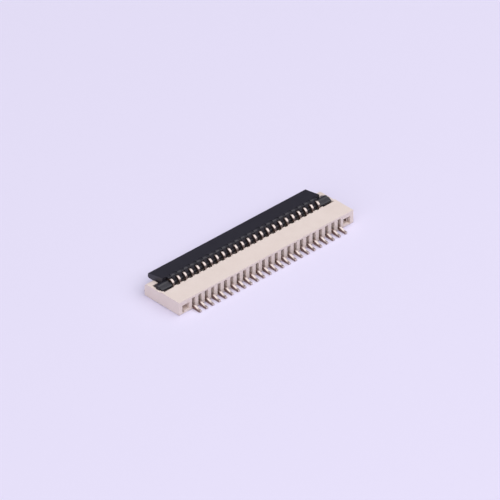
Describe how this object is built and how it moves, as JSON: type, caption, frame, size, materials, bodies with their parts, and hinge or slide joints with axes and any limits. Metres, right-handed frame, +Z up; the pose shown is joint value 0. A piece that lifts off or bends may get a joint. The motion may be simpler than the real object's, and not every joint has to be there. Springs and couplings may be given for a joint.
{
  "type": "flat flexible cable connector",
  "caption": "Low flat-cable board connector: moulded housing, row of fork contacts with solder tails, two hold-downs and a flap that flips down to lock the cable.",
  "frame": {"origin": "centre of the bounding box in plan, on the board plane under the solder feet", "axes": "+X along the contact row, -Y the side the cable enters, +Y the side the solder tails leave, +Z up from the board"},
  "size_m": [0.0274, 0.0078, 0.0025],
  "materials": {
    "housing": "moulded ivory liquid-crystal polymer",
    "flap": "moulded black polymer, low sheen",
    "contact": "tin-plated phosphor bronze",
    "hold_down": "tin-plated phosphor bronze"
  },
  "bodies": {
    "base": {"housing": "housing", "hold_down_left": "hold_down", "hold_down_right": "hold_down", "contact_01": "contact", "contact_02": "contact", "contact_03": "contact", "contact_04": "contact", "contact_05": "contact", "contact_06": "contact", "contact_07": "contact", "contact_08": "contact", "contact_09": "contact", "contact_10": "contact", "contact_11": "contact", "contact_12": "contact", "contact_13": "contact", "contact_14": "contact", "contact_15": "contact", "contact_16": "contact", "contact_17": "contact", "contact_18": "contact", "contact_19": "contact", "contact_20": "contact", "contact_21": "contact", "contact_22": "contact", "contact_23": "contact", "contact_24": "contact"},
    "actuator": {"flap": "flap"}
  },
  "joints": [
    {"name": "flap_hinge", "type": "hinge", "parent": "base", "child": "actuator", "pos_m": [0, -0.00112, 0.00152], "axis": [-1, 0, 0], "range_deg": [0, 90]}
  ]
}
